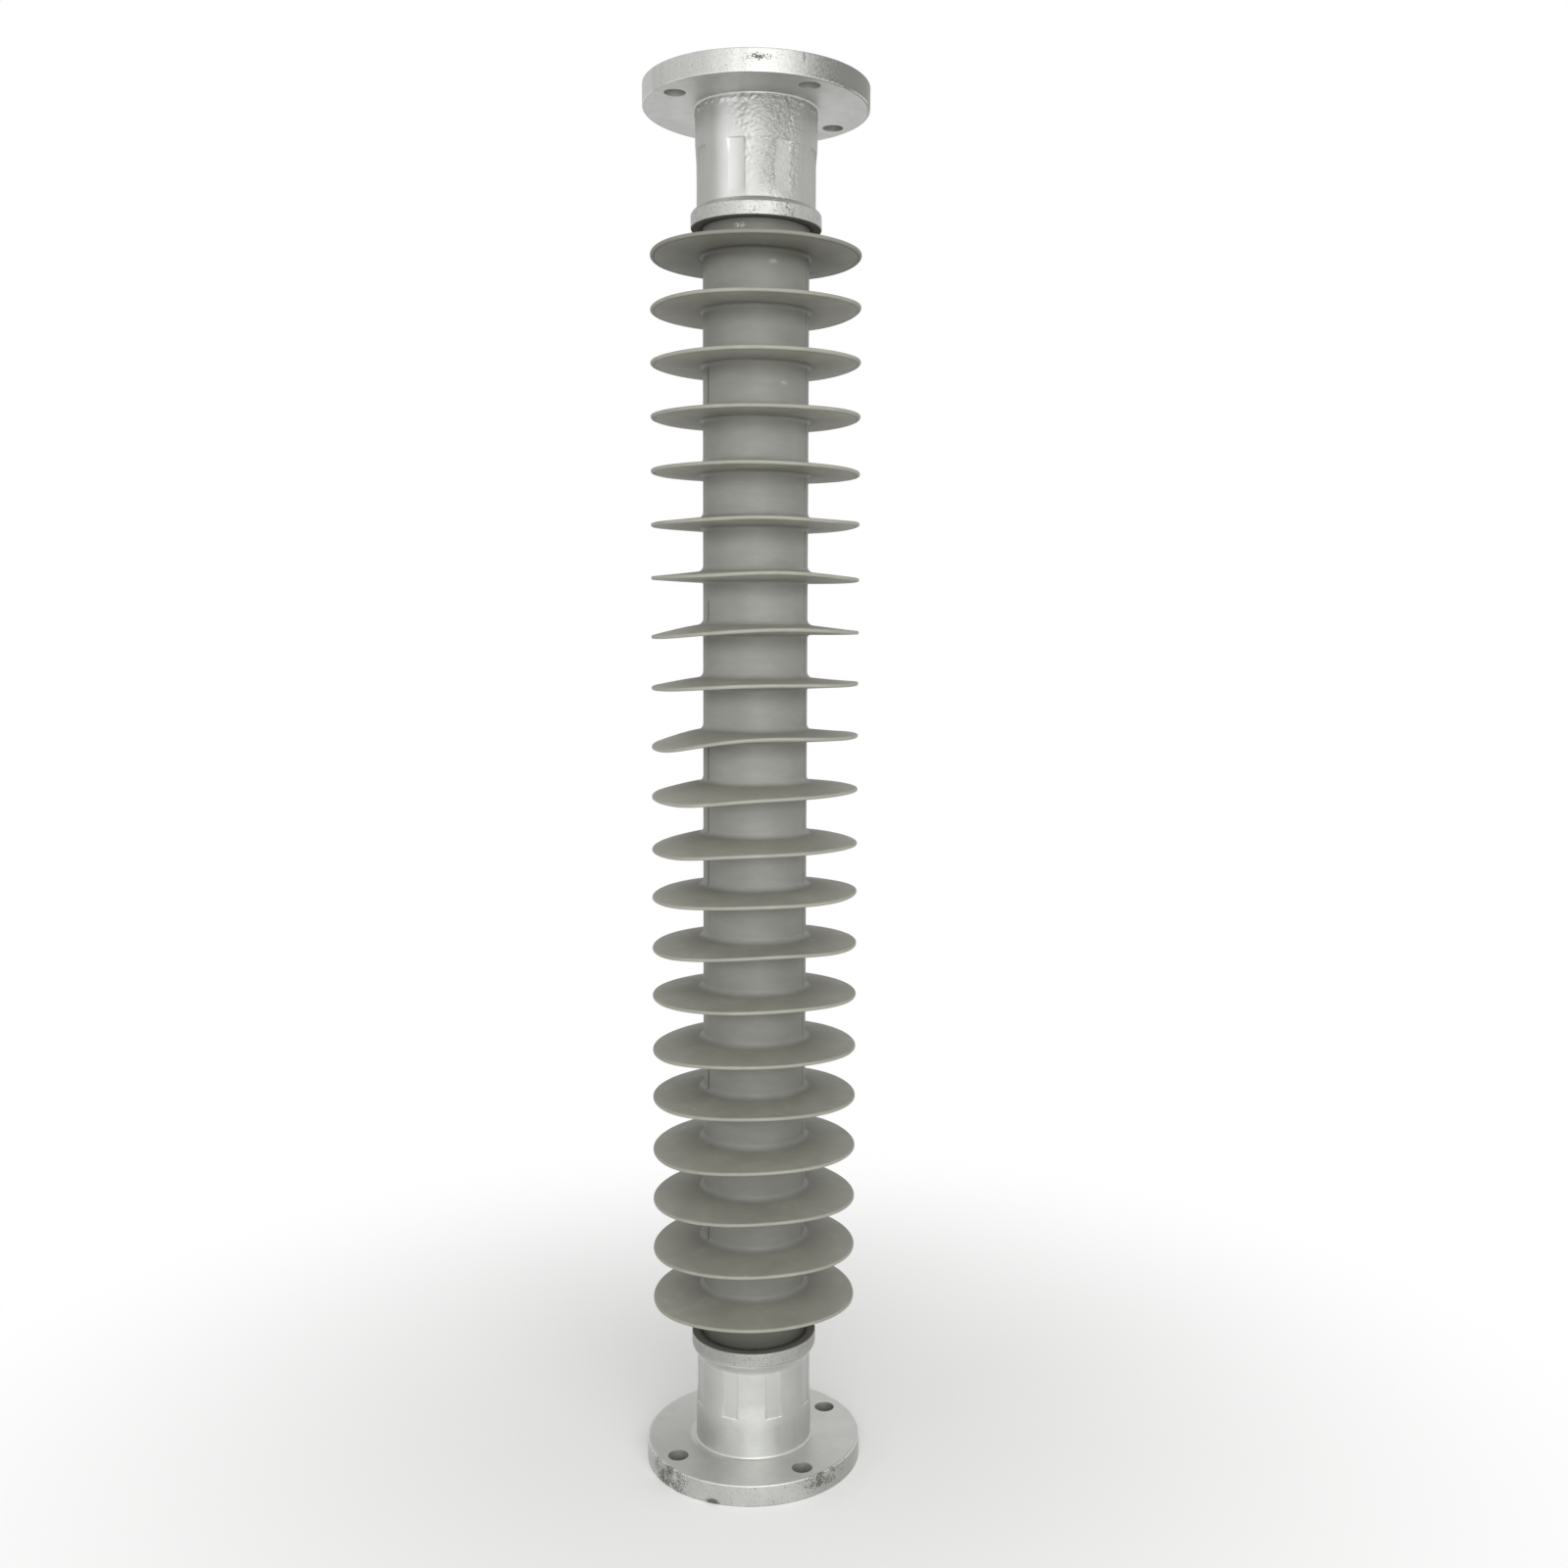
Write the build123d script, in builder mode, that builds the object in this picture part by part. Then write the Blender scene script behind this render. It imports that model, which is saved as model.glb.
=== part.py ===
from build123d import *
import math
import os

# Composite post insulator for a high-voltage busbar or switch. A fibreglass core rod
# carries the load. A one-piece silicone rubber housing with 21 equal sheds covers it,
# a galvanised flange fitting is crimped on each end, and a sealing ring fills the mouth
# of each fitting. Millimetres, +Z up. The origin is the centre of the bottom mounting
# face, and the rod's axis is Z.

# Whole insulator
overall_height = 1220.0

# Flange of an end fitting: a round plate with four bolt holes
flange_diameter = 195.0
flange_thickness = 19.0
flange_edge_chamfer = 1.0
bolt_circle_diameter = 160.0
bolt_hole_diameter = 18.0
bolt_hole_count = 4
first_bolt_angle = 35.0

# Barrel of an end fitting, heights measured from its mounting face
barrel_diameter = 105.0
barrel_root_chamfer = 2.0
crimped_diameter = 102.6
crimp_start = 55.0
crimp_lead_in = 2.5

# Crimp pads: shallow recesses left round the barrel by the jaws of the crimping press
pad_count = 8
pad_angle_width = 16.0
pad_depth = 0.8

# Collar round the mouth, and the groove that parts it from the barrel's flare
collar_diameter = 113.0
mouth_edge_chamfer = 1.2
groove_height = 106.4
groove_width = 1.4
groove_depth = 0.5
fitting_length = 119.0

# Core rod and the blind bores that hold it
rod_diameter = 82.0
rod_seat = 24.0
rod_edge_chamfer = 1.5

# Housing: sheath and sheds, rim heights measured from the bottom mounting face
sheath_diameter = 92.0
sheath_overlap = 15.0
shed_count = 21
shed_pitch = 46.2
shed_diameter = 182.8
lowest_rim_height = 155.5
rim_thickness = 3.2
upper_slope = 7.5
upper_root_chamfer = 3.5
lower_root_chamfer = 2.0

# Sealing ring in the mouth of each fitting
seal_outer_diameter = 96.0
seal_recess = 0.3
seal_dip = 1.0

# Radii and heights worked out from these
flange_radius = flange_diameter / 2
barrel_radius = barrel_diameter / 2
crimped_radius = crimped_diameter / 2
collar_radius = collar_diameter / 2
rod_radius = rod_diameter / 2
sheath_radius = sheath_diameter / 2
shed_radius = shed_diameter / 2
seal_radius = seal_outer_diameter / 2
sheath_bottom = fitting_length - sheath_overlap
sheath_top = overall_height - sheath_bottom
shed_reach = shed_radius - sheath_radius
root_rise = rim_thickness / 2 + shed_reach * math.tan(math.radians(upper_slope))
mid_height = Plane.XY.offset(overall_height / 2)


def at_radius(sketch, radius):
    """The corners of a half section that lie at this distance from the axis, lowest first."""
    corners = sketch.vertices().filter_by(lambda v: math.isclose(v.X, radius, abs_tol=1e-4))
    return corners.sort_by(Axis.Y)


def make_fitting(label, pad_angle, flare_foot, flare_top, at_top):
    """One end fitting, drawn on its mounting face: a flange and crimped barrel in one casting."""
    with BuildPart() as fitting:
        # Outside and blind bore in one half section, turned about the axis
        with BuildSketch(Plane.XZ) as half_section:
            with BuildLine():
                Polyline(
                    (0, 0),
                    (flange_radius, 0),
                    (flange_radius, flange_thickness),
                    (barrel_radius, flange_thickness),
                    (barrel_radius, crimp_start),
                    (crimped_radius, crimp_start + crimp_lead_in),
                    (crimped_radius, flare_foot),
                    (collar_radius, flare_top),
                    (collar_radius, fitting_length),
                    (seal_radius, fitting_length),
                    (seal_radius, sheath_bottom),
                    (rod_radius, sheath_bottom),
                    (rod_radius, rod_seat),
                    (0, rod_seat),
                    close=True,
                )
            make_face()
            chamfer(at_radius(half_section, flange_radius), flange_edge_chamfer)
            chamfer(at_radius(half_section, barrel_radius).first, barrel_root_chamfer)
            chamfer(at_radius(half_section, collar_radius).last, mouth_edge_chamfer)
        revolve(axis=Axis.Z)
        # Groove between the flare and the collar, where the press jaws ended
        with BuildSketch(Plane.XZ):
            with Locations((collar_radius, groove_height)):
                Rectangle(2 * groove_depth, groove_width)
        revolve(axis=Axis.Z, mode=Mode.SUBTRACT)
        # Four bolt holes through the flange
        with BuildSketch(Plane.XY):
            with PolarLocations(bolt_circle_diameter / 2, bolt_hole_count, first_bolt_angle):
                Circle(bolt_hole_diameter / 2)
        extrude(amount=flange_thickness, mode=Mode.SUBTRACT)
        # Crimp pads, each a strip of the skin sunk by the same depth up the barrel and its flare
        for pad in range(pad_count):
            start_angle = pad_angle + pad * 360 / pad_count - pad_angle_width / 2
            with BuildSketch(Plane.XZ.rotated((0, 0, start_angle))):
                with BuildLine():
                    Polyline(
                        (barrel_radius, crimp_start),
                        (crimped_radius - pad_depth, crimp_start),
                        (crimped_radius - pad_depth, flare_foot),
                        (collar_radius - pad_depth, flare_top),
                        (collar_radius, flare_top),
                        close=True,
                    )
                make_face()
            revolve(axis=Axis.Z, revolution_arc=pad_angle_width, mode=Mode.SUBTRACT)
        if at_top:
            mirror(about=mid_height, mode=Mode.REPLACE)
    fitting.part.label = label
    return fitting.part


def make_seal(label, at_top):
    """One sealing ring, drawn in the bottom fitting: its outer face dips between metal and rubber."""
    lip_height = fitting_length - seal_recess
    with BuildPart() as seal:
        with BuildSketch(Plane.XZ):
            with BuildLine():
                Polyline(
                    (sheath_radius, lip_height),
                    (sheath_radius, sheath_bottom),
                    (seal_radius, sheath_bottom),
                    (seal_radius, lip_height),
                    ((sheath_radius + seal_radius) / 2, lip_height - seal_dip),
                    close=True,
                )
            make_face()
        revolve(axis=Axis.Z)
        if at_top:
            mirror(about=mid_height, mode=Mode.REPLACE)
    seal.part.label = label
    return seal.part


# Core rod: its ends stand on the floors of the two bores
with BuildPart() as core_rod:
    with BuildSketch(Plane.XY.offset(rod_seat)):
        Circle(rod_radius)
    extrude(amount=overall_height - 2 * rod_seat)
    chamfer(core_rod.edges().filter_by(GeomType.CIRCLE), rod_edge_chamfer)
core_rod.part.label = "core_rod"

# Housing: sheath and sheds in one half section, moulded in one piece round the rod
with BuildPart() as housing:
    with BuildSketch(Plane.XZ) as half_section:
        with BuildLine():
            Polyline(
                (rod_radius, sheath_bottom),
                (sheath_radius, sheath_bottom),
                (sheath_radius, sheath_top),
                (rod_radius, sheath_top),
                close=True,
            )
        make_face()
        for shed in range(shed_count):
            rim_height = lowest_rim_height + shed * shed_pitch
            with BuildLine():
                Polyline(
                    (sheath_radius, rim_height - rim_thickness / 2),
                    (shed_radius, rim_height - rim_thickness / 2),
                    (shed_radius, rim_height + rim_thickness / 2),
                    (sheath_radius, rim_height + root_rise),
                    close=True,
                )
            make_face()
        # From the bottom up, the sheath's corners are one end, each shed's two roots, the other end
        chamfer(at_radius(half_section, sheath_radius)[1:-1:2], lower_root_chamfer)
        chamfer(at_radius(half_section, sheath_radius)[2:-1:2], upper_root_chamfer)
    revolve(axis=Axis.Z)
housing.part.label = "housing"

# The casting differs a little from end to end: the top one flares more sharply to its collar
bottom_fitting = make_fitting("bottom_fitting", -112.0, 93.0, 105.0, at_top=False)
top_fitting = make_fitting("top_fitting", -106.5, 100.5, 105.0, at_top=True)
bottom_seal = make_seal("bottom_seal", at_top=False)
top_seal = make_seal("top_seal", at_top=True)

os.makedirs("parts", exist_ok=True)
for piece in (core_rod.part, housing.part, bottom_fitting, top_fitting, bottom_seal, top_seal):
    export_step(piece, f"parts/{piece.label}.step")
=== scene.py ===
from math import cos, pi, radians, sin, tan

import bmesh
import bpy
import numpy as np
from mathutils import Matrix, Vector


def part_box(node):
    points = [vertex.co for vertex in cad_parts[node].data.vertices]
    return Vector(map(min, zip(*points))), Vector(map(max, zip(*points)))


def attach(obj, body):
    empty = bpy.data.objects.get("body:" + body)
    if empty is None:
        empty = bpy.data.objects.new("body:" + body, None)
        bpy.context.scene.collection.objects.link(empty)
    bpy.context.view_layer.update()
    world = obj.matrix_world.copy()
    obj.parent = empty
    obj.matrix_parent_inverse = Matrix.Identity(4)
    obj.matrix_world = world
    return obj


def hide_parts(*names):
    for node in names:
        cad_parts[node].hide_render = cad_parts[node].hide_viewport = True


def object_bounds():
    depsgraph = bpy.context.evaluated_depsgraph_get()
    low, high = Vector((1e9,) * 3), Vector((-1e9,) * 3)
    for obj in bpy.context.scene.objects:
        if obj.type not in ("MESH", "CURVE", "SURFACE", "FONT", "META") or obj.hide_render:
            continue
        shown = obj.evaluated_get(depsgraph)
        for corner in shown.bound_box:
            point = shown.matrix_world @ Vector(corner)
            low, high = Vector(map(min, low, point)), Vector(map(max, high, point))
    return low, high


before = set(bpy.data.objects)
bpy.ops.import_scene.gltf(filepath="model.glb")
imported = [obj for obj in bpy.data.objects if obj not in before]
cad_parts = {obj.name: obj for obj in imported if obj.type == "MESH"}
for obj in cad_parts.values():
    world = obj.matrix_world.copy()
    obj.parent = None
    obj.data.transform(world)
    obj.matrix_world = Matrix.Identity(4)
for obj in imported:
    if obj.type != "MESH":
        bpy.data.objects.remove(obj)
cad_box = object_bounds()

# Camera: just right of the front, at two thirds of the object's height, tipped down by
# five and a half degrees and turned a third of a degree about its own axis.
camera_place = (0.0619, -1.4141, 0.7595)
camera_tip = radians(5.546)
camera_roll = radians(0.37)
camera = bpy.data.objects.new("camera", bpy.data.cameras.new("camera"))
bpy.context.scene.collection.objects.link(camera)
camera.matrix_world = (
    Matrix.Translation(camera_place)
    @ Matrix.Rotation(pi / 2 - camera_tip, 4, "X")
    @ Matrix.Rotation(camera_roll, 4, "Z")
)
camera.data.sensor_width = 36.0
camera.data.lens = 36.57
camera.data.shift_x = -0.02575
bpy.context.scene.camera = camera


# Core rod: pultruded rod of glass fibre in epoxy resin, ground round and cut to length.
# The two fittings are crimped on its ends and the housing hides the rest of it.
rod_resin = (0.36, 0.33, 0.16, 1.0)
rod_fibre = (0.52, 0.49, 0.28, 1.0)
rod_relief = 0.0001


class Value:
    """A value in a material. Sums on it add Math nodes, and its methods add other nodes."""

    def __init__(self, socket):
        self.socket = socket

    def add(self, kind, settings, inputs, output=0):
        """Adds a node: its settings first, then the value or link of each of its inputs."""
        node = self.socket.id_data.nodes.new("ShaderNode" + kind)
        for name, setting in settings.items():
            setattr(node, name, setting)
        for name, value in inputs.items():
            if isinstance(value, Value):
                self.socket.id_data.links.new(value.socket, node.inputs[name])
            else:
                node.inputs[name].default_value = value
        return Value(node.outputs[output]) if node.outputs else None

    def math(self, operation, *terms):
        """A Math node with this operation on these terms, values or plain numbers."""
        return self.add("Math", {"operation": operation}, dict(enumerate(terms)))

    def __add__(self, other):
        return self.math("ADD", self, other)

    def __sub__(self, other):
        return self.math("SUBTRACT", self, other)

    def __rsub__(self, other):
        return self.math("SUBTRACT", other, self)

    def __mul__(self, other):
        return self.math("MULTIPLY", self, other)

    __radd__ = __add__
    __rmul__ = __mul__

    def ramp(self, start, end):
        """Rises smoothly from 0 at start to 1 at end, or falls where end is the lower."""
        ends = {"From Min": min(start, end), "From Max": max(start, end)}
        ends |= {"To Min": float(start > end), "To Max": float(end > start)}
        settings = {"interpolation_type": "SMOOTHSTEP"}
        return self.add("MapRange", settings, {"Value": self} | ends)

    def near(self, centre, width):
        """1 at the centre, falling smoothly to 0 at this width to either side of it."""
        return self.math("ABSOLUTE", self - centre).ramp(width, 0.0)

    def scaled(self, x, y, z):
        """This vector with its three parts multiplied."""
        return self.add("VectorMath", {"operation": "MULTIPLY"}, {0: self, 1: (x, y, z)})

    def noise(self, scale, detail=2.0):
        """Cloudy noise, about 0 to 1, with this many lumps to the metre."""
        return self.add("TexNoise", {}, {"Vector": self, "Scale": scale, "Detail": detail})

    def blend(self, colour_a, colour_b):
        """colour_a where this value is 0, and colour_b where it is 1."""
        return self.add("Mix", {"data_type": "RGBA"}, {0: self, 6: colour_a, 7: colour_b}, 2)

    def relief(self, depth):
        """The surface normal of this height map, whose full range is this deep, in metres."""
        return self.add("Bump", {}, {"Height": self, "Distance": depth, "Strength": 1.0})


def new_material(name):
    """An empty material and its first value, the place on the piece in metres."""
    material = bpy.data.materials.new(name)
    material.use_nodes = True
    material.node_tree.nodes.clear()
    node = material.node_tree.nodes.new("ShaderNodeTexCoord")
    return material, Value(node.outputs["Object"])


def finish(place, settings):
    """The material's surface: one principled shader with these inputs."""
    shader = place.add("BsdfPrincipled", {}, settings)
    place.add("OutputMaterial", {}, {"Surface": shader})


fibreglass, place = new_material("fibreglass")
strands = place.scaled(1.0, 1.0, 0.01).noise(900.0)
grinding = place.scaled(0.05, 0.05, 1.0).noise(1800.0)
finish(place, {
    "Base Color": strands.blend(rod_resin, rod_fibre),
    "Roughness": strands * 0.2 + 0.4,
    "Normal": (strands + grinding * 0.3).relief(rod_relief),
})
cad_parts["core_rod"].material_slots[0].material = fibreglass


# Housing: one piece of grey silicone rubber, injection moulded round the rod, with 21 thin
# sheds on a sheath. It is soft, and it has lain on its side, so the rims are no longer flat.
bore_radius = 0.041
sheath_radius = 0.046
shed_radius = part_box("housing")[1].x
sheath_ends = (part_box("housing")[0].z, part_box("housing")[1].z)
overall_height = cad_box[1].z
shed_count = 21
shed_pitch = 0.0462
lowest_rim = 0.1555
rim_half = 0.0016
rim_round = 0.0014
slope_degrees = 7.5
upper_slope = radians(slope_degrees)
upper_fillet = 0.0055
under_fillet = 0.0030
housing_columns = 132
end_gap = 0.0005
weld_distance = 2e-6
# How far each rim has bent from level, from the top shed down, in millimetres, upwards positive:
# a lobe at the left and its direction in degrees, then one at the front and one at the right.
rim_lobes = (
    (-1.6, 150, 0.5, 0.8), (-0.7, 150, 0.2, 3.2), (0.6, 150, 0.8, 3.5), (1.4, 150, 0.8, 3.0),
    (1.3, 160, 1.2, -0.5), (1.3, 160, 2.2, 2.5), (1.3, 160, 3.3, 0.5), (-4.7, 210, 3.0, 0.5),
    (-2.9, 215, 3.0, 1.8), (-9.3, 208, 4.3, 2.2), (-8.5, 222, 0.0, 0.8), (-8.7, 215, -0.8, -2.0),
    (-4.6, 212, 1.0, 0.8), (-4.2, 205, 4.0, 0.3), (-1.2, 205, 3.5, 0.0), (-4.6, 203, 2.3, -1.8),
    (-1.8, 203, 2.8, -1.5), (-4.5, 207, 1.3, -1.5), (-4.2, 203, 3.0, -2.8),
    (-3.5, 203, 2.0, -2.8), (-4.0, 203, 0.0, -3.2),
)
front_lobe_way = 283.0
right_lobe_way = 0.0
lobe_width = 40.0
left_lobe_back = 80.0
# A shed bends outside this radius, and more and more towards its rim
stiff_radius = 0.050
bend_power = 1.5
# The mould's two parting lines, low ridges on the sheath, and how wide dirt lies along each
parting_angles = (radians(-150.0), radians(-18.5))
parting_half = 0.0008
parting_height = 0.00035
parting_end = 0.0475
parting_fade = 0.001
parting_dirt = (0.060, 0.040)
# Glossy patches on the sheath, painted nearly white as a highlight: direction and half width in
# degrees, height in metres, strength
glint_patches = ((-105.0, 7.5, 1.0956, 1.0), (-56.5, 6.0, 0.9670, 0.35), (-69.0, 8.0, 1.0666, 0.30))
glint_half = 0.0030
# Heights at the middle of the stretches of parting line that have caught dirt
dirty_stretches = (0.966, 0.768, 0.641, 0.595, 0.548, 0.364, 0.225)
dirty_half = 0.022


def arc(centre, radius, start, end, count):
    """Points on an arc of the half section: centre + radius (cos t, sin t), t in degrees."""
    angle = np.radians(np.linspace(start, end, count))
    return np.stack([centre[0] + radius * np.cos(angle), centre[1] + radius * np.sin(angle)], 1)


def straight(start, end, shares):
    """Points of the line from start to end, at these shares of its length."""
    return np.add(start, np.outer(shares, np.subtract(end, start)))


def bell(value, centre, width):
    """exp(-((value - centre) / width) squared)."""
    return np.exp(-((value - centre) / width) ** 2)


def cells(rows, columns, rows_meet, columns_meet):
    """The four-sided faces between neighbours in a grid of points, whose ends may meet."""
    row = np.arange(rows if rows_meet else rows - 1)[:, None]
    column = np.arange(columns if columns_meet else columns - 1)[None, :]
    after_row, after_column = (row + 1) % rows, (column + 1) % columns
    corners = [row * columns + column, row * columns + after_column]
    corners += [after_row * columns + after_column, after_row * columns + column]
    return np.stack(np.broadcast_arrays(*corners), -1).reshape(-1, 4)


def new_piece(name, grids, material, node):
    """One piece from grids of points, each given with whether its rows and its columns meet.

    Points in the same place become one, so neighbouring grids close into one skin.
    """
    points, faces, count = [], [], 0
    for grid, rows_meet, columns_meet in grids:
        points.append(grid.reshape(-1, 3))
        faces.append(cells(*grid.shape[:2], rows_meet, columns_meet) + count)
        count += len(points[-1])
    mesh = bpy.data.meshes.new(name)
    mesh.from_pydata(np.concatenate(points).tolist(), [], np.concatenate(faces).tolist())
    skin = bmesh.new()
    skin.from_mesh(mesh)
    bmesh.ops.remove_doubles(skin, verts=skin.verts, dist=weld_distance)
    skin.to_mesh(mesh)
    skin.free()
    mesh.shade_smooth()
    mesh.materials.append(material)
    piece = bpy.data.objects.new(name, mesh)
    bpy.context.scene.collection.objects.link(piece)
    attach(piece, "root")
    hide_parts(node)


def turned(radius, height, angle):
    """The grid of a surface turned about the axis: (r cos a, r sin a, z)."""
    across, along = radius * np.cos(angle), radius * np.sin(angle)
    return np.stack(np.broadcast_arrays(across, along, height), -1)


# Half section of one shed from its lower root to the foot of the next one, with heights from
# the middle of its rim
face_shares = (0.02, 0.25, 0.5, 0.75, 0.98)
rim_centre = shed_radius - rim_round
under_root = (sheath_radius + under_fillet, -rim_half)
rim_low = (rim_centre, -rim_half)
rim_high = (
    rim_centre + rim_round * sin(upper_slope),
    rim_half - rim_round * (1 - cos(upper_slope)),
)
fillet_centre = sheath_radius + upper_fillet
fillet_foot = fillet_centre - upper_fillet * sin(upper_slope)
fillet_foot_height = rim_high[1] + (rim_high[0] - fillet_foot) * tan(upper_slope)
fillet_top = fillet_foot_height + upper_fillet * cos(upper_slope)
next_foot = shed_pitch - rim_half - under_fillet
shed_section = np.concatenate([
    arc((under_root[0], under_root[1] - under_fillet), under_fillet, 180, 90, 6),
    straight(under_root, rim_low, face_shares),
    arc((rim_centre, rim_round - rim_half), rim_round, -90, 0, 4),
    arc((rim_centre, rim_half - rim_round), rim_round, 0, 90 - slope_degrees, 4),
    straight(rim_high, (fillet_foot, fillet_foot_height), face_shares),
    arc((fillet_centre, fillet_top), upper_fillet, 270 - slope_degrees, 180, 7),
    straight((sheath_radius, fillet_top), (sheath_radius, next_foot), (0.03, 0.5, 0.97)),
])
rims = lowest_rim + shed_pitch * np.arange(shed_count)
radius = np.tile(shed_section[:, 0], shed_count)
height = (rims[:, None] + shed_section[:, 1]).ravel()
# The last shed's section stops short of the end of the sheath, and the bore closes the loop
height = np.minimum(height, sheath_ends[1] - end_gap)
low_end = [(bore_radius, sheath_ends[0]), (sheath_radius, sheath_ends[0])]
high_end = [(sheath_radius, sheath_ends[1]), (bore_radius, sheath_ends[1])]
section = np.concatenate([low_end, np.stack([radius, height], 1), high_end])
radius, height = section[:, :1], section[:, 1:]

# Columns of the grid: even, but with three close together on each parting line
step = 2 * pi / housing_columns
marks = [(round((a + pi) / step) + s, a + pi + s * parting_half / sheath_radius)
         for a in parting_angles for s in (-1, 0, 1)]
marks = [(0, 0.0)] + marks + [(housing_columns, 2 * pi)]
angle = np.interp(np.arange(housing_columns), *zip(*marks))[None, :] - pi
ridge = np.max([np.isclose(angle, a) for a in parting_angles], axis=0) * parting_height
on_sheath = np.clip((parting_end - radius) / parting_fade, 0, 1) * (radius > bore_radius)

# A rim's bend is the sum of its three lobes, each a bell of the angle off its direction, and two
# waves round the rim. The left lobe is wider towards the back.
left, left_way, front, right = np.array(rim_lobes[::-1]).T
owner = np.repeat(np.arange(shed_count), len(shed_section))
owner = np.concatenate([[0, 0], owner, [shed_count - 1, shed_count - 1]])
growth = np.clip((radius - stiff_radius) / (shed_radius - stiff_radius), 0, 1) ** bend_power
bend = 0.25 * np.sin(3 * angle + 1.7 * owner[:, None]) + 0.15 * np.sin(5 * angle + owner[:, None])
lobes = (
    (left, left_way, left_lobe_back),
    (front, front_lobe_way, lobe_width),
    (right, right_lobe_way, lobe_width),
)
for size, way, back in lobes:
    way = np.broadcast_to(way, size.shape)[owner][:, None]
    away = (np.degrees(angle) - way + 180) % 360 - 180
    bend = bend + size[owner][:, None] * bell(away, 0.0, np.where(away < 0, back, lobe_width))
height = height + growth * bend * 0.001
radius = radius + ridge * on_sheath
housing_skin = turned(radius, height, angle)

sheath_light = (0.325, 0.325, 0.303, 1.0)
sheath_dark = (0.25, 0.25, 0.23, 1.0)
shed_light = (0.315, 0.312, 0.270, 1.0)
shed_dark = (0.25, 0.247, 0.210, 1.0)
rubber_dust_and_light = (0.38, 0.37, 0.33, 1.0)
rubber_dirt_and_shade = (0.10, 0.10, 0.085, 1.0)
rubber_glint = (0.66, 0.66, 0.62, 1.0)
rubber_relief = 0.00014


def about_axis(place):
    """Distance from the object's axis, angle about it and height above the floor."""
    parts = [place.add("SeparateXYZ", {}, {"Vector": place}, axis) for axis in range(3)]
    radius = place.math("SQRT", parts[0] * parts[0] + parts[1] * parts[1])
    return radius, place.math("ARCTAN2", parts[1], parts[0]), parts[2]


def facing(turn, centre, width):
    """1 in this direction from the axis, falling smoothly to 0 at this angle to either side."""
    return turn.math("PINGPONG", turn - centre, pi).ramp(width, 0.0)


rubber, place = new_material("silicone_rubber")
radius, turn, up = about_axis(place)
clouds = place.noise(22.0, 4.0)
grain = place.noise(1400.0, 3.0)
smears = place.scaled(0.25, 0.25, 1.0).noise(160.0, 3.0)

# Parts of the housing: its rims, its sheds, the faces that look down, and painted shade on those
# faces just inside the rims, on the sheath between a fitting and the first shed and close under a
# shed
rim = radius.ramp(0.0900, 0.0912)
on_shed = radius.ramp(0.0465, 0.0530)
normal = place.add("NewGeometry", {}, {}, "Normal")
under = normal.add("SeparateXYZ", {}, {"Vector": normal}, 2).ramp(-0.6, -0.95) * on_shed
painted_under_rim_shade = under * radius.near(0.0884, 0.0018)
painted_neck_shade = up.math("MINIMUM", up, overall_height - up).ramp(0.155, 0.140)
gap_height = place.math("FLOORED_MODULO", up - lowest_rim, shed_pitch)
painted_under_shed_shade = gap_height.ramp(shed_pitch - 0.020, shed_pitch - 0.004) * radius.ramp(0.0560, 0.0465)

# Dirt on the parting lines, in stretches on one and even on the other, and the glossy patches with
# their painted highlight
stretches = (up.near(height, dirty_half) for height in dirty_stretches)
stretch = sum(stretches, place.noise(30.0) * 0.2)
seam = facing(turn, parting_angles[0], parting_dirt[0]) * stretch.ramp(0.1, 0.5)
seam = seam + facing(turn, parting_angles[1], parting_dirt[1]) * 0.3
seam = seam * radius.ramp(0.0475, 0.0465)
marks = sum(
    facing(turn, radians(way), radians(width)) * up.near(height, glint_half) * strength
    for way, width, height, strength in glint_patches
)
glossy_patch_glint = marks * place.noise(420.0).ramp(0.38, 0.50)

# Colour: clouded grey, lighter at mid height as painted light, then dust, scuffs and painted
# light, then dirt and painted shade, then the glossy patches' painted highlight
scuffs = place.scaled(1.0, 1.0, 5.0).noise(110.0, 3.0).ramp(0.64, 0.70) * clouds.ramp(0.52, 0.62)
streaming = place.scaled(1.0, 1.0, 0.2).noise(45.0, 3.0).ramp(0.5, 0.72) * on_shed
# The term that lightens the sheath towards mid height is painted light
tone = clouds.ramp(0.3, 0.75) * 0.5 + smears.ramp(0.35, 0.7) * 0.3 + up.near(0.70, 0.42) * 0.3
colour = on_shed.blend(tone.blend(sheath_dark, sheath_light), tone.blend(shed_dark, shed_light))
# Scuffs and streaming are dust. The rims are lightened for wear and a painted highlight, and the
# faces that look down are lightened in patches as painted light
dust_and_painted_light = rim * 0.15 + scuffs * 0.6 + streaming * 0.28 + under * clouds.ramp(0.4, 0.6) * 0.22
colour = dust_and_painted_light.blend(colour, rubber_dust_and_light)
# Darker towards the bottom of the sheath and at its top end: painted shade
painted_shade_at_ends = (up.ramp(0.62, 0.24) * 0.40 + up.ramp(0.90, 1.05) * 0.15) * (1 - on_shed)
# Darkened: dirt on the parting lines, and painted shade at the necks, under the sheds, under the
# rims and at the ends
dark = seam * 0.85 + painted_neck_shade * 0.42 + painted_under_shed_shade * 0.45 + painted_shade_at_ends + painted_under_rim_shade * 0.5
colour = dark.blend(colour, rubber_dirt_and_shade)
# The glossy patches: a painted highlight, nearly white
colour = glossy_patch_glint.blend(colour, rubber_glint)
finish(place, {
    "Base Color": colour,
    "Roughness": 0.40 + smears * 0.2 + on_shed * 0.08 - glossy_patch_glint * 0.2,
    "Normal": (grain * 0.4 + smears * 0.7).relief(rubber_relief),
    "Specular IOR Level": 0.4,
})
new_piece("rubber_housing", [(housing_skin, True, True)], rubber, "housing")


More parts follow.
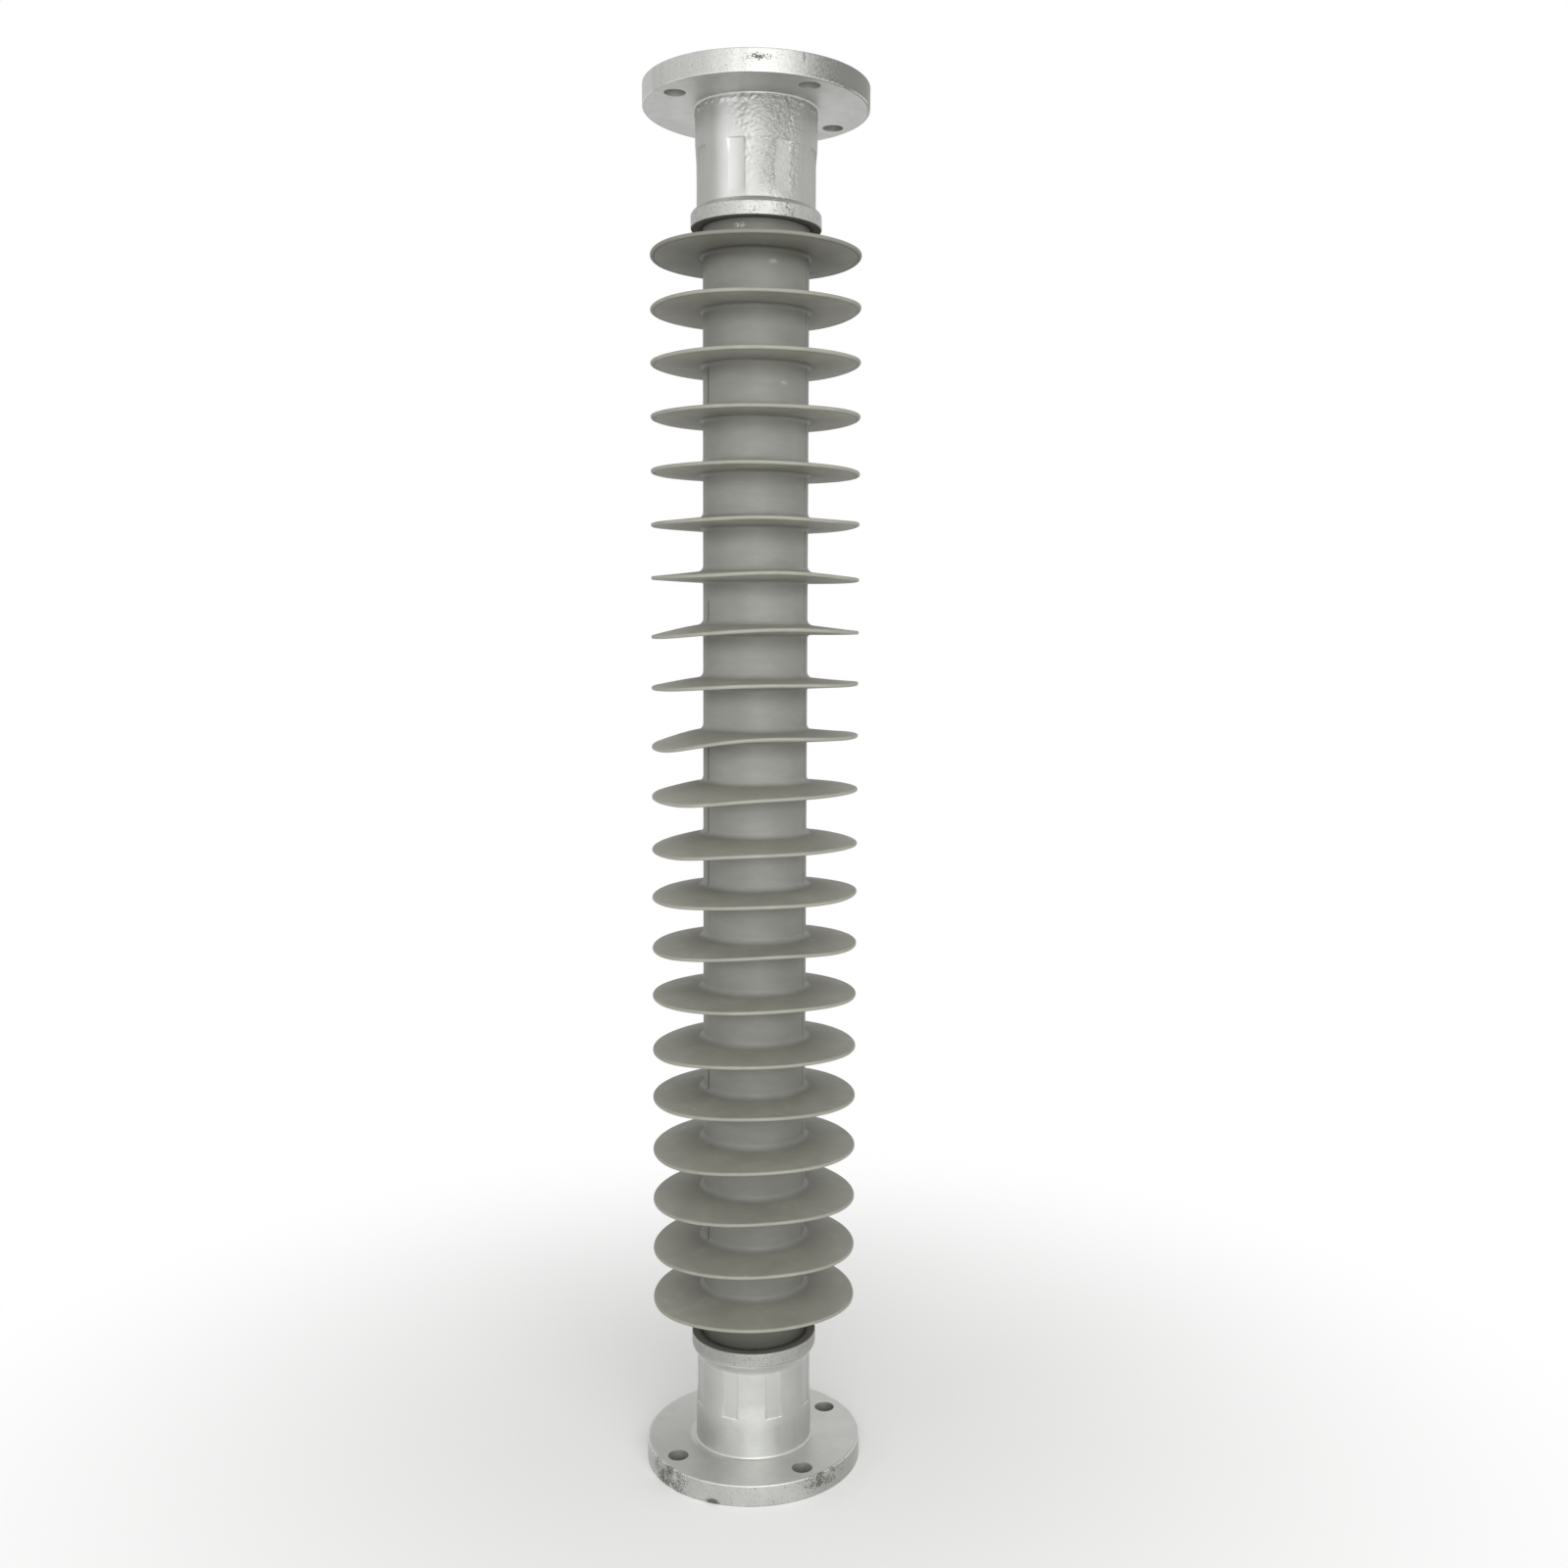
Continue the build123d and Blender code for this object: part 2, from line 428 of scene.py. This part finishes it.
# End fittings: an iron casting at each end, hot-dip galvanised, with a flange for four bolts.
# A press with eight jaws crimped its barrel on the rod, and each jaw left a sunken pad.
# Heights are above a fitting's own mounting face.
flange_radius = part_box("bottom_fitting")[1].x
fitting_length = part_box("bottom_fitting")[1].z
flange_thickness = 0.019
flange_round = 0.0008
rim_inside = flange_radius - flange_round
bolt_circle = 0.080
bolt_hole = 0.009
hole_round = 0.0004
first_bolt = radians(35.0)
barrel_radius = 0.0525
root_round = 0.0015
root_radius = barrel_radius + root_round
crimped_radius = 0.0513
crimp_start = 0.055
crimp_taper = (0.046, 0.070)
bottom_flare = (0.0965, 0.1085)
top_flare = (0.1025, 0.1068)
collar_radius = 0.0565
mouth_round = 0.0012
seal_radius = 0.048
rod_seat = 0.024
groove_height = 0.1064
groove_half = 0.0006
bottom_groove = 0.0003
top_groove = 0.0006
# The pads: the direction of one in degrees, half the width of a pad and of its edge, and how far
# its floor lies below the skin at that edge
pad_count = 8
bottom_pad = -112.0
top_pad = -106.5
pad_half = radians(8.0)
pad_edge = radians(0.5)
pad_step = 0.00015
# The zinc's lumps fade in above the flange and out at the mouth, and are faint on the pads
lumps_start = (0.0205, 0.0220)
lumps_end = (0.1175, 0.1185)
pad_calm = 0.85
# Rows of the barrel's grid, lowest, highest and how many: closest where the skin turns sharply
barrel_rows = (
    (0.0210, 0.0545, 34), (0.0548, 0.0585, 14), (0.0595, 0.1000, 41), (0.1006, 0.1056, 10),
    (0.1059, 0.1069, 5), (0.1075, fitting_length - mouth_round, 12),
)
# The flange is meshed in quarters, one for each bolt hole
quarters = 4
quarter_columns = 72
quarter_side_rows = 22


def smooth(value, start, end):
    """0 below start, 1 above end, and t t (3 - 2 t) between them."""
    share = np.clip((value - start) / (end - start), 0, 1)
    return share * share * (3 - 2 * share)


def lumps(points, length, seed, waves=12):
    """Rolling noise between about -1 and 1: sine waves of random heading, added up."""
    draw = np.random.default_rng(seed)
    heading = draw.normal(size=(3, waves))
    heading *= 2 * pi / length / np.linalg.norm(heading, axis=0) * draw.uniform(0.7, 1.4, waves)
    return np.sin(points @ heading + draw.uniform(0, 2 * pi, waves)).sum(-1) / 4


def fitting_columns(pad_centre):
    """Angles of the columns, each one's angle off its pad, and the angles where quarters start.

    The columns are even in each quarter, but with two close together at each edge of a pad.
    """
    starts = first_bolt + radians(45) + np.arange(quarters) * pi / 2 - pi / 2
    width = pi / 2 / quarter_columns
    pads = (radians(pad_centre) - starts[0] + np.arange(pad_count) * pi / 4) % (2 * pi)
    edges = np.sort(np.concatenate([pads - pad_half, pads + pad_half]) % (2 * pi))
    before = np.floor(edges / width)
    bounds = np.arange(quarters + 1)
    marks = np.concatenate([bounds * quarter_columns, before, before + 1])
    places = np.concatenate([bounds * pi / 2, edges - pad_edge, edges + pad_edge])
    order = np.argsort(marks)
    column = np.arange(quarters * quarter_columns + 1)
    angle = np.interp(column, marks[order], places[order])
    away = np.min(np.abs((angle[:, None] - pads + pi) % (2 * pi) - pi), axis=1)
    return (angle + starts[0])[None, :], away[None, :-1], starts


def barrel_grid(angle, away, flare, groove_depth, rough):
    """The barrel's outside, r(z): a taper to the crimped part, a flare to the collar, the groove.

    A pad is a flat floor, r = its distance from the axis / cos(angle off the pad's middle), and
    follows the flare up. The zinc's lumps come last.
    """
    z = np.concatenate([np.linspace(*rows) for rows in barrel_rows])[:, None]
    flared = (collar_radius - crimped_radius) * smooth(z, *flare)
    r = barrel_radius - (barrel_radius - crimped_radius) * smooth(z, *crimp_taper)
    r = r + flared
    on_pad = away < pad_half
    pad_length = (z > crimp_start) * (1 - smooth(z, flare[1] - 0.012, flare[1] - 0.004))
    pad_floor = (crimped_radius * cos(pad_half) - pad_step) / np.cos(away) + flared
    r = np.where(on_pad, r + (np.minimum(r, pad_floor) - r) * pad_length, r + 0 * z)
    r = r - groove_depth * bell(z, groove_height, groove_half)
    kept = smooth(z, *lumps_start) * (1 - smooth(z, *lumps_end))
    kept = kept * (1 - pad_calm * on_pad * pad_length)
    return turned(r + rough(turned(r, z, angle), angle, z) * kept, z, angle)


def flange_quarter(span, middle):
    """Both faces of a quarter of the flange, with its hole at the middle angle.

    Straight lines run from the quarter's edge to the hole's edge, down the hole's wall and back
    out below.
    """
    run = np.linspace(0, 1, quarter_side_rows + 1)
    side = rim_inside + (root_radius - rim_inside) * run
    outer = np.stack([rim_inside * np.cos(span), rim_inside * np.sin(span)], 1)
    inner = np.stack([root_radius * np.cos(span), root_radius * np.sin(span)], 1)
    left = side[:, None] * np.array([[cos(span[-1]), sin(span[-1])]])
    right = side[:, None] * np.array([[cos(span[0]), sin(span[0])]])
    edge = np.concatenate([outer[:-1], left[:-1], inner[::-1][:-1], right[::-1][:-1]])
    hole = bolt_circle * np.array([cos(middle), sin(middle)])
    heading = edge - hole
    heading /= np.linalg.norm(heading, axis=1)[:, None]
    lip = bolt_hole + hole_round
    inwards = np.array([0, 0.04, 0.15, 0.3, 0.45, 0.6, 0.75, 0.88, 0.97, 1.0])[:, None, None]
    face = edge + (hole + heading * lip - edge) * inwards
    upper = np.concatenate([face, np.full(face.shape[:2] + (1,), flange_thickness)], -1)
    section = np.concatenate([
        arc((lip, flange_thickness - hole_round), hole_round, 90, 180, 4)[1:],
        arc((lip, hole_round), hole_round, 180, 270, 4),
    ])
    wall = hole + heading * section[:, :1, None]
    heights = np.broadcast_to(section[:, 1:, None], wall.shape[:2] + (1,))
    wall = np.concatenate([wall, heights], -1)
    lower = np.concatenate([face[::-1][1:], np.zeros((len(face) - 1, len(edge), 1))], -1)
    return np.concatenate([upper, wall, lower])


def upside_down(grid):
    """A bottom piece's grid as the top piece's: z becomes the overall height - z.

    The columns then run the other way round, so the faces still point outwards.
    """
    return (grid * np.array([1, 1, -1]) + np.array([0, 0, overall_height]))[:, ::-1]


def fitting_grids(pad_centre, flare, groove_depth, at_top, rough):
    """The skin of one fitting, on its own mounting face, or turned over for the top one."""
    angle, away, starts = fitting_columns(pad_centre)
    around = angle[:, :-1]

    def ring(section):
        """This half section turned about the axis."""
        return turned(section[:, :1], section[:, 1:], around)

    barrel = barrel_grid(around, away, flare, groove_depth, rough)
    root = arc((root_radius, flange_thickness + root_round), root_round, 270, 180, 5)[:-1]
    mouth_in = collar_radius - mouth_round
    mouth = arc((mouth_in, fitting_length - mouth_round), mouth_round, 0, 90, 5)[1:]
    lip_ends = (mouth_in, fitting_length), (seal_radius, fitting_length)
    lip = straight(*lip_ends, (0.03, 0.3, 0.6, 1.0))
    housing_end = sheath_ends[0]
    bore = [(seal_radius, fitting_length - end_gap), (seal_radius, housing_end)]
    bore += [(bore_radius, housing_end), (bore_radius, rod_seat), (0.02, rod_seat), (0, rod_seat)]
    low, high = flange_round, flange_thickness - flange_round
    rim = np.concatenate([
        arc((rim_inside, low), flange_round, -90, 0, 4),
        straight((flange_radius, low), (flange_radius, high), (0.05, 0.5, 0.95)),
        arc((rim_inside, high), flange_round, 0, 90, 4),
    ])
    grids = [
        np.concatenate([ring(root), barrel[:1]]),
        barrel,
        np.concatenate([barrel[-1:], ring(np.concatenate([mouth, lip, bore]))]),
        ring(rim),
        ring(np.array([(0, 0), (0.02, 0), (0.04, 0), (root_radius, 0)])),
    ]
    for quarter, start in enumerate(starts):
        first = quarter * quarter_columns
        span = angle[0, first:first + quarter_columns + 1]
        grids.append(flange_quarter(span, start + pi / 4))
    return [(upside_down(grid) if at_top else grid, False, True) for grid in grids]


def cast_skin(points, angle, height):
    """A quiet casting: faint rolls left by the dip."""
    return 0.00006 * lumps(points, 0.018, 3) + 0.00003 * lumps(points, 0.006, 4)


def rippled_skin(points, angle, height):
    """Zinc that set in ripples right of the front, and ran down into a bead under the flange.

    A ripple is a ridge wherever rolling noise passes through zero: 1 - 2 |noise|.
    """
    right = bell(angle % (2 * pi), radians(300), radians(19))
    right = right * (1 - 0.7 * smooth(height, 0.085, 0.105))
    left = bell(angle % (2 * pi), radians(262), radians(14))
    upper = 1 - smooth(height, 0.070, 0.100)
    flat = points * np.array([1.0, 1.0, 1.8])
    ripples = 1 - 2 * np.abs(lumps(flat, 0.0075, 5)) + 0.8 * lumps(flat, 0.0034, 6)
    bead = bell(height, 0.0232, 0.0022) * (0.3 + np.clip(lumps(points, 0.0055, 8), -0.3, 1))
    calm = 0.00006 * lumps(points, 0.020, 7)
    return calm + 0.00050 * ripples * (right + 0.35 * left * upper) + 0.0009 * bead


zinc_bright = (0.58, 0.585, 0.565, 1.0)
zinc_dull = (0.47, 0.475, 0.455, 1.0)
pale_zinc_and_highlight = (0.66, 0.665, 0.65, 1.0)
zinc_shade = (0.22, 0.22, 0.205, 1.0)
zinc_grime = (0.10, 0.095, 0.078, 1.0)
mouth_grime_and_shade = (0.14, 0.135, 0.115, 1.0)
zinc_relief = 0.00018

zinc, place = new_material("galvanised_iron")
radius, turn, up = about_axis(place)
end_up = place.math("MINIMUM", up, overall_height - up)
clouds = place.noise(30.0, 4.0)
streaks = place.scaled(1.0, 1.0, 0.06).noise(120.0, 3.0)
grain = place.noise(1100.0, 3.0)
specks = place.noise(950.0, 5.0)
patches = place.noise(110.0, 4.0)

# Parts of a fitting: flange rim, upper face of the bottom flange, barrel, its sides, both
# collars, the groove and the mouth
top_end = up.ramp(0.60, 0.62)
bottom_end = 1 - top_end
on_rim = radius.ramp(0.0940, 0.0970)
above_rim = end_up.ramp(0.015, 0.018)
face = radius.ramp(0.0560, 0.0600) * (1 - on_rim) * bottom_end * above_rim
barrel = radius.ramp(0.0580, 0.0560) * end_up.ramp(0.0195, 0.0210)
painted_side_shade = (1 - facing(turn, radians(-88), 1.30)) * barrel
top_collar = top_end * end_up.ramp(0.105, 0.107)
bottom_collar = bottom_end * end_up.ramp(0.1075, 0.109)
groove = end_up.near(groove_height, 0.0011) * radius.ramp(0.0575, 0.0565)
mouth = end_up.ramp(fitting_length - 0.0012, fitting_length - 0.0004)

# The pads and the line round each, and the bolt holes by their distance from the nearest bolt
first_pad = top_end * radians(top_pad - bottom_pad) + radians(bottom_pad)
pad_way = place.math("PINGPONG", turn - first_pad, pi / pad_count)
pad_height = end_up.ramp(0.054, 0.056) * end_up.ramp(0.104, 0.100)
on_pad = pad_way.ramp(0.15, 0.13) * pad_height
painted_pad_edge_shade = pad_way.near(pad_half, 0.012) * pad_height
bolt_way = place.math("PINGPONG", turn - first_bolt + 2 * pi, pi / quarters)
across = place.math("COSINE", bolt_way) * radius * bolt_circle * 2
from_bolt = place.math("SQRT", radius * radius + bolt_circle ** 2 - across)
# The bolt holes' walls are darkened as painted shade
painted_hole_shade = from_bolt.ramp(bolt_hole + 0.0005, bolt_hole + 0.0001) * end_up.ramp(0.030, 0.028)

# Pits in the flange rims: at the left, the right and the foot of the bottom one, and in a worn
# stretch and along the lower edge of the top one
pitted_left = facing(turn, radians(-140), 0.45)
pitted_right = facing(turn, radians(-47), 0.42) * end_up.ramp(0.002, 0.010)
pitted_foot = facing(turn, radians(-109), 0.11) * end_up.ramp(0.006, 0.002)
worn_stretch = facing(turn, radians(-86), 0.20) * end_up.near(0.007, 0.005)
pitted_edge = facing(turn, radians(-42), 0.50) * end_up.ramp(0.014, 0.018)
bottom_pits = (pitted_left + pitted_right) * patches.ramp(0.30, 0.60) * 0.24
bottom_pits = bottom_end * (bottom_pits + pitted_foot * 0.4 + 0.03)
top_pits = top_end * (worn_stretch * 0.2 + pitted_edge * 0.14)
pits = (specks + (bottom_pits + top_pits) * on_rim).ramp(0.66, 0.72) * on_rim

# What the dip left on the top fitting: ripples, fine scales and a grainy rim; and a painted
# highlight in a strip left of the front
rippled = facing(turn, radians(-63), 0.68) * top_end * end_up.ramp(0.110, 0.085)
rippled = rippled * radius.ramp(0.0560, 0.0550) * barrel * (1 - on_pad)
ripple = place.math("ABSOLUTE", place.scaled(1.0, 1.0, 2.0).noise(330.0, 3.0) - 0.5) * rippled
scales = place.scaled(0.4, 0.4, 1.0).noise(700.0, 2.0) * top_end * facing(turn, radians(-90), 1.1)
painted_highlight_strip = facing(turn, radians(-115), 0.34) * top_end * barrel * end_up.ramp(0.112, 0.100)
sand = place.noise(600.0, 3.0).ramp(0.35, 0.65) * on_rim * top_end

# Colour: clouded and streaked zinc, then painted shade and the dark marks, then painted highlights
# and paler pads
tone = clouds.ramp(0.35, 0.7) * 0.5 + streaks.ramp(0.3, 0.7) * (0.15 + top_end * 0.35) + 0.2
colour = tone.blend(zinc_dull, zinc_bright)
# Painted shade: in the groove, on the right of the rims, over the top fitting's barrel, rim and
# collar, most at the front middle, along the pads' edges, on the barrels' sides and on the bottom
# flange's face, most at the left. The tick and the grainy rim are real marks, and the bottom
# collar is darker.
painted_rim_shade = facing(turn, radians(-30), 1.0) * on_rim
painted_front_shade = facing(turn, radians(-84), 0.45) * barrel
painted_left_shade = facing(turn, radians(-165), 1.3)
tick = top_end * facing(turn, radians(-64.5), 0.012) * end_up.near(0.004, 0.006) * on_rim
dark = groove * 0.8 + painted_rim_shade * (0.40 + top_end * 0.55) + tick + sand * (0.15 + painted_rim_shade * 0.3)
dark = dark + top_end * (barrel * 0.28 + painted_front_shade * 0.28 + on_rim * 0.08) + top_collar * 0.12
dark = dark + painted_pad_edge_shade * (0.35 - top_end * 0.15) + painted_side_shade * 0.2 + face * (0.05 + painted_left_shade * 0.34)
colour = (dark + bottom_collar * 0.34).blend(colour, zinc_shade)
# Painted highlights: at the front of the bottom barrel, on the flare under its collar and on the
# face under the top flange; the bottom fitting's pads are a little paler
painted_front_highlight = bottom_end * barrel * facing(turn, radians(-102), 0.8) * end_up.ramp(0.109, 0.107)
painted_flare_light = bottom_end * end_up.near(0.1015, 0.0075)
painted_face_light = top_end * radius.near(0.066, 0.018) * above_rim
bright = painted_front_highlight + painted_flare_light * 1.2 + painted_face_light * 0.7 + bottom_end * on_pad * 0.25
bright = painted_highlight_strip * streaks.ramp(0.25, 0.45) * 0.8 + bright * 0.6
colour = bright.blend(colour, pale_zinc_and_highlight)
# Painted highlights along the edge of each flange's rim on the barrel side and along each mouth's
# edge
painted_rim_highlight = radius.near(0.0971, 0.0010) * end_up.near(0.0187, 0.0010)
painted_mouth_highlight = radius.near(0.0560, 0.0010) * end_up.near(0.1183, 0.0009)
colour = ((painted_rim_highlight + painted_mouth_highlight) * clouds.ramp(0.3, 0.5)).blend(colour, pale_zinc_and_highlight)

# Dirt: grime towards the mouth and in a stain on the top collar, and the pits; painted shade in
# the bolt holes, and painted shade with grime on the mouth's face
grime = place.noise(500.0, 5.0).ramp(0.50, 0.66) * patches.ramp(0.35, 0.60)
grime = grime * end_up.ramp(0.105, 0.109)
stain = facing(turn, radians(-60), 0.17) * top_end * end_up.ramp(0.106, 0.108)
stain = stain * place.noise(450.0, 4.0).ramp(0.50, 0.58)
colour = (grime * 0.5 + painted_hole_shade * 0.6 + stain * 0.6).blend(colour, mouth_grime_and_shade)
colour = mouth.blend(colour, mouth_grime_and_shade)
colour = pits.blend(colour, zinc_grime)
dirt_and_shade = place.math("MAXIMUM", pits, place.math("MAXIMUM", mouth, grime * 0.5 + painted_hole_shade * 0.5))
relief = grain * 0.35 + streaks * top_end * 0.3 + clouds * 0.3 - pits * 0.8 - ripple * 13
finish(place, {
    "Base Color": colour,
    "Metallic": (1 - dirt_and_shade) * 0.85,
    "Roughness": 0.42 + clouds * 0.12 + dirt_and_shade * 0.25,
    "Normal": (relief + scales * 0.8).relief(zinc_relief),
})

bottom = fitting_grids(bottom_pad, bottom_flare, bottom_groove, False, cast_skin)
top = fitting_grids(top_pad, top_flare, top_groove, True, rippled_skin)
new_piece("bottom_end_fitting", bottom, zinc, "bottom_fitting")
new_piece("top_end_fitting", top, zinc, "top_fitting")


# Sealing rings: one in the mouth of each fitting, between the metal and the rubber. They are
# black sealant, gunned in when the rod was crimped and tooled to a shallow hollow.
seal_recess = 0.0003
seal_dip = 0.0010
seal_columns = 128
seal_rows = 9
sealant_colour = (0.045, 0.045, 0.040, 1.0)
sealant_dust = (0.10, 0.095, 0.080, 1.0)
sealant_relief = 0.0002


def seal_grid(at_top):
    """A ring whose outer face dips by a half wave between the rubber and the metal.

    The dip goes up and down by a fifth round the ring, as sin(7 a) sin(3 a).
    """
    angle = np.linspace(0, 2 * pi, seal_columns, endpoint=False)[None, :]
    share = np.linspace(0, 1, seal_rows)[:, None]
    face_radius = seal_radius + (sheath_radius - seal_radius) * share
    dip = seal_dip * np.sin(pi * share) * (0.8 + 0.2 * np.sin(7 * angle) * np.sin(3 * angle))
    face = turned(face_radius, fitting_length - seal_recess - dip, angle)
    wall = np.array([(sheath_radius, sheath_ends[0]), (seal_radius, sheath_ends[0])])
    grid = np.concatenate([face, turned(wall[:, :1], wall[:, 1:], angle)])
    return upside_down(grid) if at_top else grid


sealant, place = new_material("sealant")
dust = place.noise(400.0, 4.0)
finish(place, {
    "Base Color": dust.ramp(0.4, 0.7).blend(sealant_colour, sealant_dust),
    "Roughness": dust * 0.3 + 0.45,
    "Normal": dust.relief(sealant_relief),
})
bottom_ring = [(seal_grid(False), True, True)]
top_ring = [(seal_grid(True), True, True)]
new_piece("bottom_sealing_ring", bottom_ring, sealant, "bottom_seal")
new_piece("top_sealing_ring", top_ring, sealant, "top_seal")


# Floor: a plain pale ground under the bottom flange, matt near the object, where it keeps the
# shadow, and fading to plain white further out. It is not part of the object.
floor_half = 12.0
floor_colour = (0.90, 0.90, 0.89, 1.0)
floor_fade = (0.12, 0.9)
corners = [(-1, -1), (1, -1), (1, 1), (-1, 1)]
floor_mesh = bpy.data.meshes.new("floor")
floor_mesh.from_pydata([(x * floor_half, y * floor_half, 0.0) for x, y in corners], [], [range(4)])
floor = bpy.data.objects.new("floor", floor_mesh)
bpy.context.scene.collection.objects.link(floor)


def seen_directly(value):
    """1 for what is seen, directly, in a mirror or through glass, and 0 for light on a surface."""
    kinds = ("Camera", "Glossy", "Transmission")
    rays = [value.add("LightPath", {}, {}, f"Is {kind} Ray") for kind in kinds]
    return value.math("MAXIMUM", value.math("MAXIMUM", rays[0], rays[1]), rays[2])


ground, place = new_material("pale_ground")
radius = about_axis(place)[0]
matt = place.add("BsdfDiffuse", {}, {"Color": floor_colour})
white = place.add("Emission", {}, {"Strength": 1.0})
share = radius.ramp(*floor_fade) * seen_directly(place)
mixed = place.add("MixShader", {}, {0: share, 1: matt, 2: white})
place.add("OutputMaterial", {}, {"Surface": mixed})
floor_mesh.materials.append(ground)


# Light: a broad soft lamp behind the camera, weaker ones at the left and low down, and an even
# white sky.
def soft_lamp(name, place, aim, size, power):
    """A square lamp of this size in metres, facing the aim."""
    lamp = bpy.data.objects.new(name, bpy.data.lights.new(name, "AREA"))
    lamp.data.size = size
    lamp.data.energy = power
    heading = (Vector(aim) - Vector(place)).to_track_quat("-Z", "Y")
    lamp.matrix_world = Matrix.Translation(place) @ heading.to_matrix().to_4x4()
    bpy.context.scene.collection.objects.link(lamp)


soft_lamp("key_lamp", (0.45, -2.4, 1.4), (0.0, 0.0, 0.6), 2.8, 47.0)
soft_lamp("low_lamp", (0.2, -2.1, 0.6), (0.0, 0.0, 1.1), 0.9, 5.0)
soft_lamp("side_lamp", (-1.9, -1.5, 1.1), (0.0, 0.0, 0.8), 0.7, 3.0)

sky_light = 0.65
world = bpy.data.worlds.new("white_sky")
world.use_nodes = True
world.node_tree.nodes.clear()
sky = Value(world.node_tree.nodes.new("ShaderNodeTexCoord").outputs["Object"])
brightness = seen_directly(sky) * (1 - sky_light) + sky_light
background = sky.add("Background", {}, {"Color": (1.0, 1.0, 1.0, 1.0), "Strength": brightness})
sky.add("OutputWorld", {}, {"Surface": background})
bpy.context.scene.world = world
bpy.context.scene.view_settings.view_transform = "Standard"
